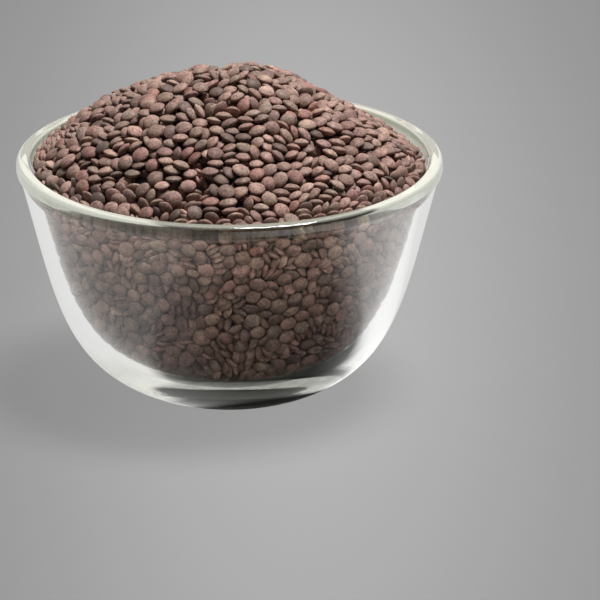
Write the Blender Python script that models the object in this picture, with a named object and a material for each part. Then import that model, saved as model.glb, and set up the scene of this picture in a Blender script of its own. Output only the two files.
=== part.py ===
"""A clear glass bowl, filled and heaped with whole brown lentils, at its real size.

Metres, +Z up. The origin is under the middle of the bowl's base, on the surface that it stands on.
The bowl is one turned solid. The lentils are a second solid: a core that fills the bowl, rises above
it as a heap and has bumps as large as lentils all over, with lentils of true size fused to its top.
"""

import math
import random

import bmesh
import bpy
import numpy as np
from mathutils import Matrix, Vector

# Bowl
BOWL_HEIGHT = 0.0725
RIM_RADIUS = 0.065
NECK_RADIUS = 0.064  # just under the lip
BASE_RADIUS = 0.0262
RECESS_RADIUS = 0.0165
RECESS_DEPTH = 0.0008
RECESS_SLOPE = 0.0012
HEEL_ANGLE = math.radians(20)  # how steeply the wall leaves the base
HEEL_REACH = 0.0278
NECK_LEAN = math.radians(15)  # how far the wall leans out under the lip
NECK_REACH = 0.040
LIP_DEPTH = 0.0044
LIP_ROUND = 0.0014
LIP_STEP = 0.0002  # how much the lip's lower edge is drawn in
LIP_INNER_ROUND = 0.0010
WALL = 0.0040
HEEL_WALL = 0.0080
HEEL_WALL_FADE = 2.4
FLOOR_DISH = 0.0005  # how much lower the floor is in the middle
WALL_STEPS = 9
ROUND_STEPS = 3
BOWL_SIDES = 48
SHARP_ANGLE = math.radians(35)
GLASS_COLOR = (0.92, 0.96, 0.93)
GLASS_ROUGHNESS = 0.03

# Heap, its surface being the tops of the lentils
HEAP_HEIGHT = 0.1003
HEAP_SLOPE = 1.30
HEAP_ROUNDING = 0.068
HEAP_MIDDLE = (-0.001, 0.0)
# Low swells and dents in the heap: x, y, radius, height
HEAP_SWELLS = (
    (0.031, 0.020, 0.010, -0.0016),
    (0.015, 0.019, 0.008, 0.0009),
    (-0.041, 0.022, 0.009, 0.0013),
    (-0.003, 0.021, 0.009, -0.0009),
    (-0.022, -0.024, 0.011, 0.0008),
    (0.020, -0.034, 0.012, -0.0008),
    (0.044, -0.012, 0.010, 0.0007),
    (-0.036, -0.030, 0.010, -0.0007),
)
GLASS_GAP = 0.0004  # between the lentils and the glass
SLOPE_REACH = 0.001375  # to each side of a point, where the heap's slope is read

# Core
CORE_POINTS = 2760
CORE_JITTER = 0.25  # of the distance between its points
BUMP_TOP = (0.0001, 0.0007)  # how far the bumps' tips lie under the heap's surface
BUMP_FOOT = (0.0019, 0.0025)
DOME_STEPS = 24

# Lentils
LENTIL_DIAMETER = 0.0055
LENTIL_SPREAD = 0.0004
LENTIL_THICKNESS = 0.46  # of its diameter
LENTIL_SIDES = 6
SHOULDER_RADIUS = 0.55  # of a lentil's radius
LENTILS = 112
LENTIL_TILT = math.radians(24)
LENTIL_SPACING = 1.35  # of its diameter
SEAT_ROUNDS = 6
SKIN_COLOR = (0.26, 0.17, 0.14)
SKIN_ROUGHNESS = 0.75

GOLDEN_ANGLE = math.pi * (3 - math.sqrt(5))
SAME_PLACE = 1e-6  # points nearer than this are one
SEED = 7


def clear_scene():
    for thing in list(bpy.data.objects):
        bpy.data.objects.remove(thing, do_unlink=True)


def material(name, color, roughness, transmission=0.0):
    made = bpy.data.materials.new(name)
    made.use_nodes = True
    shader = made.node_tree.nodes["Principled BSDF"]
    shader.inputs["Base Color"].default_value = (*color, 1.0)
    shader.inputs["Roughness"].default_value = roughness
    shader.inputs["Metallic"].default_value = 0.0
    shader.inputs["Transmission Weight"].default_value = transmission
    return made


def add_object(name, bm):
    mesh = bpy.data.meshes.new(name)
    bm.to_mesh(mesh)
    bm.free()
    made = bpy.data.objects.new(name, mesh)
    bpy.context.scene.collection.objects.link(made)
    return made


def outer_wall():
    """Up the wall's outside on one Bezier curve: how far along, (radius, height) and direction."""
    foot = Vector((BASE_RADIUS, 0.0))
    neck = Vector((NECK_RADIUS, BOWL_HEIGHT - LIP_DEPTH))
    low = foot + HEEL_REACH * Vector((math.cos(HEEL_ANGLE), math.sin(HEEL_ANGLE)))
    high = neck - NECK_REACH * Vector((math.sin(NECK_LEAN), math.cos(NECK_LEAN)))
    for step in range(WALL_STEPS + 1):
        t = step / WALL_STEPS
        u = 1 - t
        point = u**3 * foot + 3 * u * u * t * low + 3 * u * t * t * high + t**3 * neck
        direction = u * u * (low - foot) + 2 * u * t * (high - low) + t * t * (neck - high)
        yield t, point, direction.normalized()


def inner_wall():
    """(radius, height) up the inside: the outer wall, set in by more and more towards the base."""
    points = []
    for t, point, direction in outer_wall():
        thickness = WALL + (HEEL_WALL - WALL) * (1 - t) ** HEEL_WALL_FADE
        points.append(point + thickness * Vector((-direction.y, direction.x)))
    return points


def arc(centre, radius, start, end, steps):
    """Points on an arc, its angles counted from straight outwards towards straight up."""
    for step in range(steps + 1):
        angle = start + (end - start) * step / steps
        yield centre + radius * Vector((math.cos(angle), math.sin(angle)))


def lip(inner_top):
    """The rim from the neck, round its bead and over its top, to the inner wall."""
    low = BOWL_HEIGHT - LIP_DEPTH
    yield Vector((RIM_RADIUS - LIP_STEP, low + LIP_ROUND / 2))
    yield Vector((RIM_RADIUS, low + LIP_ROUND))
    bead = Vector((RIM_RADIUS - LIP_ROUND, BOWL_HEIGHT - LIP_ROUND))
    yield from arc(bead, LIP_ROUND, 0.0, math.pi / 2, ROUND_STEPS)
    inner_height = BOWL_HEIGHT - LIP_INNER_ROUND
    inner_radius = inner_top.x + (inner_height - inner_top.y) * math.tan(NECK_LEAN)
    edge = Vector((inner_radius + LIP_INNER_ROUND, inner_height))
    yield from arc(edge, LIP_INNER_ROUND, math.pi / 2, math.pi, ROUND_STEPS - 1)


def bowl_profile():
    """The glass in section, from the axis under the base, round the rim, to the axis on the floor."""
    inner = inner_wall()
    floor_edge = inner[0]
    profile = [
        Vector((0.0, RECESS_DEPTH)),
        Vector((RECESS_RADIUS - RECESS_SLOPE, RECESS_DEPTH)),
        Vector((RECESS_RADIUS, 0.0)),
    ]
    profile += [point for _, point, _ in outer_wall()]
    profile += lip(inner[-1])
    profile += reversed(inner)
    profile.append(Vector((floor_edge.x / 2, floor_edge.y - FLOOR_DISH * 3 / 4)))
    profile.append(Vector((0.0, floor_edge.y - FLOOR_DISH)))
    return profile


def make_bowl():
    """The glass: its section, spun once round +Z."""
    bm = bmesh.new()
    chain = [bm.verts.new((point.x, 0.0, point.y)) for point in bowl_profile()]
    edges = [bm.edges.new(pair) for pair in zip(chain, chain[1:])]
    bmesh.ops.spin(
        bm,
        geom=chain + edges,
        axis=(0, 0, 1),
        cent=(0, 0, 0),
        steps=BOWL_SIDES,
        angle=2 * math.pi,
        use_merge=True,
    )
    bmesh.ops.remove_doubles(bm, verts=bm.verts, dist=SAME_PLACE)
    bmesh.ops.recalc_face_normals(bm, faces=bm.faces)
    bowl = add_object("glass_bowl", bm)
    bowl.data.materials.append(material("clear glass", GLASS_COLOR, GLASS_ROUGHNESS, 1.0))
    bowl.data.shade_smooth()
    bowl.data.set_sharp_from_angle(angle=SHARP_ANGLE)


def heap_height(x, y):
    """Height of the lentils' tops: a rounded cone with low swells and dents."""
    reach = math.hypot(x - HEAP_MIDDLE[0], y - HEAP_MIDDLE[1])
    height = HEAP_HEIGHT - HEAP_SLOPE * (math.hypot(reach, HEAP_ROUNDING) - HEAP_ROUNDING)
    for swell_x, swell_y, radius, rise in HEAP_SWELLS:
        height += rise * math.exp(-((x - swell_x) ** 2 + (y - swell_y) ** 2) / (2 * radius**2))
    return height


def heap_normal(x, y):
    step = SLOPE_REACH
    slope_x = (heap_height(x + step, y) - heap_height(x - step, y)) / (2 * step)
    slope_y = (heap_height(x, y + step) - heap_height(x, y - step)) / (2 * step)
    return Vector((-slope_x, -slope_y, 1.0)).normalized()


class Heap:
    """The surface that the outermost lentils touch: open on top, and along the glass below."""

    def __init__(self):
        wall = inner_wall()
        flats = math.cos(math.pi / BOWL_SIDES)  # the faceted glass is a little nearer between its corners
        self.wall_radii = np.array([point.x * flats for point in wall]) - GLASS_GAP
        self.wall_heights = np.array([point.y for point in wall])
        self.floor = wall[0].y + GLASS_GAP
        self.wall_heights[0] = self.floor
        dome = np.linspace(0.0, self.wall_radii[-1], DOME_STEPS, endpoint=False)
        # From the heap's top over its edge, down the wall and in along the floor
        self.radii = np.concatenate([dome, self.wall_radii[::-1], [0.0]])
        self.heights = np.concatenate(
            [[heap_height(radius, 0.0) for radius in dome], self.wall_heights[::-1], [self.floor]]
        )
        lengths = np.hypot(np.diff(self.radii), np.diff(self.heights))
        areas = np.cumsum(lengths * (self.radii[1:] + self.radii[:-1]))
        self.shares = np.concatenate([[0.0], areas / areas[-1]])
        self.dome_share = self.shares[DOME_STEPS]

    def section(self, share):
        """(radius, height) with this share of the surface above it, on the way from top to floor."""
        return Vector(
            (
                float(np.interp(share, self.shares, self.radii)),
                float(np.interp(share, self.shares, self.heights)),
            )
        )

    def at(self, share, angle):
        """The point of the surface there, and its direction outwards."""
        place = self.section(share)
        out = Vector((math.cos(angle), math.sin(angle), 0.0))
        if share < self.dome_share:
            x, y = place.x * out.x, place.x * out.y
            return Vector((x, y, heap_height(x, y))), heap_normal(x, y)
        step = 1 / CORE_POINTS
        along = (self.section(min(share + step, 1.0)) - self.section(share - step)).normalized()
        normal = -along.y * out + along.x * Vector((0, 0, 1))
        return out * place.x + Vector((0, 0, place.y)), normal

    def excess(self, point):
        """How far a point stands past the glass, outwards."""
        allowed = float(np.interp(point.z, self.wall_heights, self.wall_radii))
        return math.hypot(point.x, point.y) - allowed


def even_sphere():
    """A closed shell of triangles between points spread evenly over a sphere."""
    bm = bmesh.new()
    for index in range(CORE_POINTS):
        height = 1 - (2 * index + 1) / CORE_POINTS
        radius = math.sqrt(1 - height * height)
        angle = index * GOLDEN_ANGLE
        bm.verts.new((radius * math.cos(angle), radius * math.sin(angle), height))
    bmesh.ops.convex_hull(bm, input=bm.verts)
    bmesh.ops.recalc_face_normals(bm, faces=bm.faces)
    return bm


def tips(bm, draw):
    """Points to raise as bumps: no two of them are neighbours, and no further one would fit."""
    order = list(bm.verts)
    draw.shuffle(order)
    chosen = set()
    for vertex in order:
        if not any(edge.other_vert(vertex) in chosen for edge in vertex.link_edges):
            chosen.add(vertex)
    return chosen


def make_core(heap, draw):
    """The heap without its loose lentils: an even shell on its surface, with a bump at each tip."""
    bm = even_sphere()
    raised = tips(bm, draw)
    spacing = math.sqrt(4 / CORE_POINTS)
    jitter = CORE_JITTER * spacing / 4  # as a share of the surface
    for vertex in bm.verts:
        share = (1 - vertex.co.z) / 2 + draw.uniform(-1, 1) * jitter
        angle = math.atan2(vertex.co.y, vertex.co.x)
        point, normal = heap.at(min(max(share, 0.0), 1.0), angle)
        depth = draw.uniform(*BUMP_TOP) if vertex in raised else draw.uniform(*BUMP_FOOT)
        vertex.co = point - normal * depth
    bmesh.ops.recalc_face_normals(bm, faces=bm.faces)
    return add_object("lentils", bm)


def lentil_mesh():
    """One lentil of unit diameter: flat on top, an edge all round, and a cone where it is sunk in."""
    mesh = bpy.data.meshes.new("lentil")
    bm = bmesh.new()
    half = LENTIL_THICKNESS / 2
    bmesh.ops.create_cone(
        bm,
        cap_ends=True,
        cap_tris=False,
        segments=LENTIL_SIDES,
        radius1=0.5,
        radius2=SHOULDER_RADIUS / 2,
        depth=half,
        matrix=Matrix.Translation((0, 0, half / 2)),
    )
    underside = min(bm.faces, key=lambda face: face.calc_center_median().z)
    tip = bmesh.ops.poke(bm, faces=[underside])["verts"][0]
    tip.co.z = -half
    bmesh.ops.recalc_face_normals(bm, faces=bm.faces)
    bm.to_mesh(mesh)
    bm.free()
    return mesh


def lentil_spots(heap, draw):
    """Points of the open top: each is drawn at random, and kept if it is clear of the others."""
    spots = []
    edge = heap.wall_radii[-1] - LENTIL_DIAMETER / 2
    while len(spots) < LENTILS:
        radius = edge * math.sqrt(draw.random())
        angle = draw.uniform(0, 2 * math.pi)
        spot = Vector((radius * math.cos(angle), radius * math.sin(angle)))
        if all((spot - other).length > LENTIL_SPACING * LENTIL_DIAMETER for other in spots):
            spots.append(spot)
    return spots


def lentil_place(spot, diameter, draw):
    """Transform of a lentil that lies on the heap at this spot, with a random tilt and turn."""
    normal = heap_normal(spot.x, spot.y)
    sideways = normal.orthogonal().normalized()
    lean = Matrix.Rotation(draw.uniform(0, 2 * math.pi), 3, normal) @ sideways
    facing = Matrix.Rotation(LENTIL_TILT * math.sqrt(draw.random()), 3, lean) @ normal
    turn = Matrix.Rotation(draw.uniform(0, 2 * math.pi), 4, "Z")
    square = facing.to_track_quat("Z", "Y").to_matrix().to_4x4()
    surface = Vector((spot.x, spot.y, heap_height(spot.x, spot.y)))
    middle = surface - normal * diameter * LENTIL_THICKNESS / 2
    return Matrix.Translation(middle) @ square @ turn @ Matrix.Scale(diameter, 4)


def seat(mesh, place, heap):
    """Move a placed lentil in until every corner of it is clear of the glass."""
    for _ in range(SEAT_ROUNDS):
        excess = max(heap.excess(place @ vertex.co) for vertex in mesh.vertices)
        if excess <= 0.0:
            break
        inwards = -Vector((place.translation.x, place.translation.y, 0.0)).normalized()
        place = Matrix.Translation(inwards * excess) @ place
    return place


def loose_lentils(heap, draw):
    """The lentils of true size, the largest first, in a collection of their own."""
    shape = lentil_mesh()
    pieces = bpy.data.collections.new("loose lentils")
    bpy.context.scene.collection.children.link(pieces)
    diameters = sorted((draw.gauss(LENTIL_DIAMETER, LENTIL_SPREAD) for _ in range(LENTILS)), reverse=True)
    for spot, diameter in zip(lentil_spots(heap, draw), diameters):
        lentil = bpy.data.objects.new("lentil", shape)
        lentil.matrix_world = seat(shape, lentil_place(spot, diameter, draw), heap)
        pieces.objects.link(lentil)
    return pieces


def shell_volume(faces):
    volume = 0.0
    for face in faces:
        first = face.verts[0].co
        for second, third in zip(face.verts[1:], face.verts[2:]):
            volume += first.dot(second.co.cross(third.co)) / 6
    return volume


def keep_main_shell(mesh):
    """Fill hollows that fusing sealed and drop loose scraps: only the shell of most volume stays."""
    bm = bmesh.new()
    bm.from_mesh(mesh)
    unseen = set(bm.faces)
    shells = []
    while unseen:
        shell = [unseen.pop()]
        for face in shell:
            for edge in face.edges:
                for neighbour in edge.link_faces:
                    if neighbour in unseen:
                        unseen.remove(neighbour)
                        shell.append(neighbour)
        shells.append(shell)
    shells.sort(key=shell_volume)
    extra = [face for shell in shells[:-1] for face in shell]
    bmesh.ops.delete(bm, geom=extra, context="FACES")
    bm.to_mesh(mesh)
    bm.free()


def fuse(core, pieces):
    """Join the pieces to the core by one Boolean union, and remove them."""
    bpy.context.view_layer.update()
    join = core.modifiers.new("join", "BOOLEAN")
    join.operation = "UNION"
    join.solver = "MANIFOLD"
    join.operand_type = "COLLECTION"
    join.collection = pieces
    graph = bpy.context.evaluated_depsgraph_get()
    joined = bpy.data.meshes.new_from_object(core.evaluated_get(graph))
    core.modifiers.remove(join)
    core.data = joined
    for piece in list(pieces.objects):
        bpy.data.objects.remove(piece, do_unlink=True)
    bpy.data.collections.remove(pieces)
    keep_main_shell(joined)


def make_lentils():
    draw = random.Random(SEED)
    heap = Heap()
    lentils = make_core(heap, draw)
    fuse(lentils, loose_lentils(heap, draw))
    lentils.data.materials.clear()  # the union leaves an empty slot
    lentils.data.materials.append(material("lentil skin", SKIN_COLOR, SKIN_ROUGHNESS))


def main():
    clear_scene()
    make_bowl()
    make_lentils()


main()
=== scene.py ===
"""Looks of the bowl of dry lentils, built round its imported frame.

The glass is turned again with more steps than the frame has. The lentils that show are settled
as flat ellipsoids between the glass, the heap's surface and a hidden core, then drawn as
lens-shaped meshes. Metres, +Z up, in the frame's own axes.
"""

import math

import bmesh
import bpy
import numpy as np
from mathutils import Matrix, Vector
from mathutils.kdtree import KDTree


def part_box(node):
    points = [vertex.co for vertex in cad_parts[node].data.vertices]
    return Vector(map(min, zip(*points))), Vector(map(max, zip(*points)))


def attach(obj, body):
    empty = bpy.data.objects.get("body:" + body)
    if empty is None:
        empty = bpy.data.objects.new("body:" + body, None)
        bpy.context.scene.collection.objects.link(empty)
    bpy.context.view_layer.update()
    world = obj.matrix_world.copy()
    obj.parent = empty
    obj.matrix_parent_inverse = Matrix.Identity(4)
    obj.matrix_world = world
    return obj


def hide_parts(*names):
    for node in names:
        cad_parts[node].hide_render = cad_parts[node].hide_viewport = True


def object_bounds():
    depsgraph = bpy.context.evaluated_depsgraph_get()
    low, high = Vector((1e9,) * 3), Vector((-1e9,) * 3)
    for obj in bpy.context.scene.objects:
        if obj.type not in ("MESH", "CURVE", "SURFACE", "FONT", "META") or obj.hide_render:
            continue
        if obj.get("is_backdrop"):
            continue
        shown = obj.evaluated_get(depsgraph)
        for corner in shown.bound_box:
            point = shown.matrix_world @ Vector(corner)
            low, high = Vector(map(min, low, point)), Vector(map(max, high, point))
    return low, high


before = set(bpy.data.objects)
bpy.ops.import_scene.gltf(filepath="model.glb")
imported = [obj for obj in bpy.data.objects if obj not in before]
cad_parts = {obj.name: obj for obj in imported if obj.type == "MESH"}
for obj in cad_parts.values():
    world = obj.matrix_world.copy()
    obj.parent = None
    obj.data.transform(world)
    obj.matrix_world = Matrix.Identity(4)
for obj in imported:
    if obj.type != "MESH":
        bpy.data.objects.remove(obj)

bl_info = {
    "name": "Lentil Bowl",
    "version": (1, 0, 0),
    "blender": (4, 5, 0),
    "location": "3D Viewport > Sidebar > Lentil Bowl",
    "description": "Clear glass bowl heaped with settled brown lentils, on a pale studio floor",
    "category": "Object",
}

MM = 0.001

# Bowl, from the frame and from the same named sizes as its source
GLASS_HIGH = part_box("glass_bowl")[1]
BOWL_HEIGHT = GLASS_HIGH.z
RIM_RADIUS = GLASS_HIGH.x
NECK_STEP = 1.0 * MM
NECK_RADIUS = RIM_RADIUS - NECK_STEP
BASE_RADIUS = 26.2 * MM
RECESS_RADIUS = 16.5 * MM
RECESS_DEPTH = 0.8 * MM
RECESS_SLOPE = 1.2 * MM
HEEL_ANGLE = math.radians(20)
HEEL_REACH = 27.8 * MM
NECK_LEAN = math.radians(15)
NECK_REACH = 40.0 * MM
LIP_DEPTH = 4.4 * MM
LIP_ROUND = 1.4 * MM
LIP_STEP = 0.2 * MM
LIP_INNER_ROUND = 1.0 * MM
HEEL_WALL = 8.0 * MM
HEEL_WALL_FADE = 2.4
FLOOR_DISH = 0.5 * MM
WALL_STEPS = 44
ROUND_STEPS = 7
FLOOR_STEPS = 5
SHARP_ANGLE = math.radians(35)

# Glass
GLASS_IOR = 1.5
RIM_FLAT = 0.10 * MM  # the rim's top is milky down to this depth, milk that is painted light
RIM_FADE = 0.45 * MM  # and clear from this depth on
RIM_CLEAR = 0.66  # how much of the light passes there; the rest is milky painted light
HEEL_CLEAR = 0.92  # and at the foot
HEEL_MILK_PAINTED_TOP = 0.20  # of the bowl's height, up to which the glass is a little milky, as painted light
FOOT_TINT_TOP = 0.30  # of the bowl's height, up to which the glass looks a little ivory
INNER_REFLECTIONS = 3  # after which a ray leaves the wall

# Heap
HEAP_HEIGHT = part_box("lentils")[1].z
HEAP_SLOPE = 1.30
HEAP_ROUNDING = 68.0 * MM
HEAP_MIDDLE = (-1.0 * MM, 0.0)
SLOPE_STEP = 1.0 * MM  # over which the heap's slope is read
# Low swells and dents in the heap: x, y, radius, height, in millimetres
HEAP_SWELLS = (
    (31, 20, 10, -1.6),
    (15, 19, 8, 0.9),
    (-41, 22, 9, 1.3),
    (-3, 21, 9, -0.9),
    (-22, -24, 11, 0.8),
    (20, -34, 12, -0.8),
    (44, -12, 10, 0.7),
    (-36, -30, 10, -0.7),
)

# The room that the lentils fill, in section
RIM_RISE = 12 * MM  # how far the glass is thought to go on above the rim
WALL_PIECE = 1.0 * MM
GRID_STEP = 0.5 * MM
GRID_MARGIN = 8 * MM

# Where the lentils start
SHELL_DEPTH = 8.0 * MM  # how thick a layer of lentils is settled over the core
LEAST_DEPTH = 1.2 * MM
SHOWN_DEPTH = 6.3 * MM  # lentils centred deeper than this can't be seen and are left out
PACKING = 0.70  # share of the shell that the ellipsoids fill
TOP_PACKING = 0.84  # and under the heap's surface, before they are pressed under it
SIZE_LIMITS = (-2.2, 2.6)  # of the spread, from the mean diameter
PROUD = (-0.3 * MM, 0.4 * MM)  # how far a lentil may stand out of the heap's surface
TOP_REACH = 1.5 * MM  # how much deeper under the surface than behind the glass the top ones go
TOP_LEANING = (0.9, 0.2, 0.32)  # how much those lean upwards, out of the slope and by chance
FACING_SHARE = 0.62  # of the lentils by the glass, which start flat against it
FACING_CHANCE = 0.40
STREWN_UP = 0.8

# Settling
GLASS_CLEARANCE = 0.10 * MM
GLASS_TOUCH = 0.05 * MM  # the least that the drawn lentils stay off the glass
TOUCH_ROUNDS = 3
CONTACT_SIZE = 0.95  # a lens is slimmer at its edge than the ellipsoid that stands for it
CONTACT_FLATNESS = 0.86
SETTLE_STEPS = 360
PAIR_STEPS = 8  # between two searches for close pairs
PAIR_REACH = 1.06  # of the largest diameter
GROWTH = 0.55  # size at the start
GROWTH_RATE = 2.5  # how many times faster than the settling the lentils grow
CALM_SHARE = 0.25  # of the steps, at the end, without any pull
PULL = 0.04 * MM
INWARD_PULL = 0.8  # straight in from the heap's surface, against the pull down
PUSH_SHARE = 0.42
LONGEST_MOVE = 0.25  # of a diameter, in a step
LARGEST_TURN = 0.3
SPIN_REACH = 0.30  # of a diameter: how far out a lentil's weight lies, against turning
CORE_REACH = 0.35  # of a diameter, which a lentil's centre stays above the shell's inner side
GLASS_TURN = 0.70  # how readily the glass turns a lentil flat against it
TOP_TURN = 0.3  # and the heap's surface
TOP_HOLD = 0.5  # how firmly the heap's surface holds a lentil under it

# Lentil shape
LENTIL_SIDES = 12
# Rings between the rim and the middle: radius and height, both of the full ones
LENTIL_RINGS = ((0.90, 0.29), (0.60, 0.73))
OUTLINE_WAVES = ((2, 0.030), (3, 0.016), (5, 0.008))  # how many round a lentil, and how high
DOME_SPREAD = 0.10
DOME_LIMITS = (0.75, 1.0)
TILT_SPREAD = 0.05

# Kinds of lentils: name, share, skin colour
KINDS = (
    ("rosy", 0.28, (0.325, 0.194, 0.160)),
    ("fawn", 0.24, (0.352, 0.224, 0.178)),
    ("brown", 0.23, (0.272, 0.166, 0.134)),
    ("grey", 0.12, (0.284, 0.194, 0.154)),
    ("umber", 0.08, (0.160, 0.100, 0.082)),
    ("russet", 0.05, (0.290, 0.150, 0.122)),
)
SHADE_SPREAD = 0.16
HUE_SPREAD = 0.012
SKIN_GLOSS = 0.22
TONE = "tone"  # the attribute that holds each lentil's own colour

# Core
CORE_DEPTH = 6.6 * MM
CORE_SIDES = 64
CORE_STEPS = 24
CORE_CELLS = 230.0
# painted shade: the core is coloured nearly black for the shade that lentils deep in the gaps lie
# in
CORE_PAINTED_SHADE_COLOURS = ((0.0, (0.020, 0.010, 0.008)), (1.0, (0.004, 0.002, 0.002)))
CORE_BUMP = (0.8, -1.0 * MM)

# Patches on the surfaces: scale, detail and roughness of the noise, and what its values give
SMEARS = (60.0, 2.0, 0.5, ((0.3, 0.0), (0.8, 0.03)))
MOTTLING = (1500.0, 3.0, 0.65, ((0.38, 0.50), (0.55, 1.0)))
CLOUDS = (420.0, 2.0, 0.5, ((0.36, 0.66), (0.62, 1.0)))
SKIN_ROUGHNESS = (400.0, 2.0, 0.5, ((0.3, 0.52), (0.7, 0.72)))
FLOOR_PATCHES = (3.0, 2.0, 0.5)
FLOOR_PATCH_STOPS = (0.3, 0.7)
FLOOR_PATCH_SHADE = 0.98  # of the floor's own
# Bumps: their noise, and their strength and height
RIPPLES = (45.0, 1.0, 0.5)
RIPPLE_BUMP = (0.05, 1.0 * MM)
GRAIN = (1300.0, 3.0, 0.6)
GRAIN_BUMP = (0.5, 0.06 * MM)
MATT = 0.9  # roughness

# Camera, fitted to the photograph
CAMERA_AIM = Vector((21.47 * MM, 0.0, 26.06 * MM))
CAMERA_ELEVATION = math.radians(20.12)
CAMERA_DISTANCE = 2.5
CAMERA_LENS = 489.06
CAMERA_SENSOR = 36.0

# Stage
FLOOR_RADIUS = 6.0
FLOOR_SIDES = 96
WALL_GREY = (0.26, 0.26, 0.26)
# The oval of floor just in front of the bowl that glows less
DIM_MIDDLE = (36 * MM, -80 * MM)
DIM_REACH = (76 * MM, 66 * MM)
DIM_GLOW = 0.035
SOFT_DIM_EDGE = (0.62, 1.06)  # of its reach, from dim to bright, as the glass mirrors it
NEAR_DIM_EDGE = (1.06, 1.18)  # and as it is seen through the glass
# The ground under the foot, painted dark as the bowl's shadow
FOOT_SHADE_MIDDLE = (7 * MM, -5 * MM)
FOOT_SHADE_REACH = (26 * MM, 33 * MM)
FOOT_SHADES = ((0.86, 0.05), (1.0, 1.0))  # of its reach, and how much of the glow is left there
# The pool of light on the floor: its middle, its reach, how steeply it falls and the light beyond
POOL_MIDDLE = (21 * MM, 89 * MM)
POOL_REACH = (157 * MM, 834 * MM)
POOL_FALL = 3.1
POOL_EDGE = 0.50
# The lit table as glass mirrors it, from the shaded left to the bright right
GLOW_SIDES = (-30 * MM, 110 * MM)
GLOW_FADE = 2.0  # how fast the bright side fades behind the bowl's middle
# The room as glass sees it is dim round this direction, low in front
DIM_SIDE = (0.60, -0.80, 0.0)
DIM_SIDE_EDGE = (0.42, 0.70)  # along it, from bright to dim
DIM_SIDE_COLOURS = ((0.0, (1.0, 1.0, 0.985)), (1.0, (0.04, 0.035, 0.03)))
# The soft light that comes through glass comes mostly from this direction
INNER_SIDE = (-0.30, -0.45, 0.84)
INNER_SHADES = ((0.0, 0.25), (0.85, 1.0))  # along it
ROOM_SHADES = ((0.0, 0.30), (1.0, 1.0))  # of the other soft light, by height
# The key lamp
KEY_PLACE = Vector((0.22, 0.06, 1.10))
KEY_AIM = Vector((0.0, 0.0, 0.06))
KEY_SIZE = (0.40, 0.36)


class GlassSettings(bpy.types.PropertyGroup):
    wall: bpy.props.FloatProperty(
        name="Wall",
        description="Thickness of the glass wall",
        default=4.0 * MM,
        min=1.0 * MM,
        unit="LENGTH",
    )
    sides: bpy.props.IntProperty(
        name="Sides", description="Steps round the bowl", default=160, min=24
    )
    tint: bpy.props.FloatVectorProperty(
        name="Tint",
        description="Colour of the light that passes",
        subtype="COLOR",
        default=(0.965, 0.975, 0.955),
    )
    rim_tint: bpy.props.FloatVectorProperty(
        name="Rim tint",
        description="Colour of the rim's top",
        subtype="COLOR",
        default=(0.69, 0.68, 0.56),
    )
    bead_tint: bpy.props.FloatVectorProperty(
        name="Bead tint",
        description="Colour that gathers in the bead",
        subtype="COLOR",
        default=(0.45, 0.47, 0.37),
    )
    foot_tint: bpy.props.FloatVectorProperty(
        name="Foot tint",
        description="Colour that gathers in the foot",
        subtype="COLOR",
        default=(0.93, 0.92, 0.66),
    )


class LentilSettings(bpy.types.PropertyGroup):
    diameter: bpy.props.FloatProperty(
        name="Diameter",
        description="Mean diameter of a lentil",
        default=5.3 * MM,
        min=2.0 * MM,
        unit="LENGTH",
    )
    spread: bpy.props.FloatProperty(
        name="Spread",
        description="Spread of the diameters",
        default=0.34 * MM,
        min=0.0,
        unit="LENGTH",
    )
    flatness: bpy.props.FloatProperty(
        name="Flatness",
        description="Thickness as a share of the diameter",
        default=0.50,
        min=0.2,
        max=1.0,
    )
    seed: bpy.props.IntProperty(name="Seed", description="Start of the random draws", default=11)


class StageSettings(bpy.types.PropertyGroup):
    floor_shade: bpy.props.FloatProperty(
        name="Floor shade", description="How pale the floor is", default=0.045, min=0.0, max=1.0
    )
    # painted light: the floor's glow as the camera sees it
    floor_lift: bpy.props.FloatProperty(
        name="Floor lift",
        description="How much paler the floor looks than its light makes it",
        default=0.34,
        min=0.0,
    )
    table_glow: bpy.props.FloatProperty(
        name="Table glow",
        description="How bright the floor is as seen through glass",
        default=0.80,
        min=0.0,
    )
    left_glow: bpy.props.FloatProperty(
        name="Left glow",
        description="How bright the floor is to the left, as mirrored",
        default=0.68,
        min=0.0,
    )
    bright_glow: bpy.props.FloatProperty(
        name="Bright glow",
        description="How bright the floor is to the right, as mirrored",
        default=2.2,
        min=0.0,
    )
    room_light: bpy.props.FloatProperty(
        name="Room light",
        description="Strength of the soft light from above",
        default=0.07,
        min=0.0,
    )
    inner_light: bpy.props.FloatProperty(
        name="Inner light",
        description="Strength of the soft light that comes through glass",
        default=2.5,
        min=0.0,
    )
    glass_light: bpy.props.FloatProperty(
        name="Glass light",
        description="Brightness of the white room seen in glass",
        default=1.05,
        min=0.0,
    )
    key_power: bpy.props.FloatProperty(
        name="Key light",
        description="Power of the large lamp above",
        default=22.0,
        min=0.0,
        unit="POWER",
    )


# Meshes and materials in general


def add_object(name, data):
    made = bpy.data.objects.new(name, data)
    bpy.context.scene.collection.objects.link(made)
    return made


def add_piece(name, bm, shade_angle=None):
    mesh = bpy.data.meshes.new(name)
    bm.to_mesh(mesh)
    bm.free()
    mesh.shade_smooth()
    if shade_angle is not None:
        mesh.set_sharp_from_angle(angle=shade_angle)
    return add_object(name, mesh)


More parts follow.
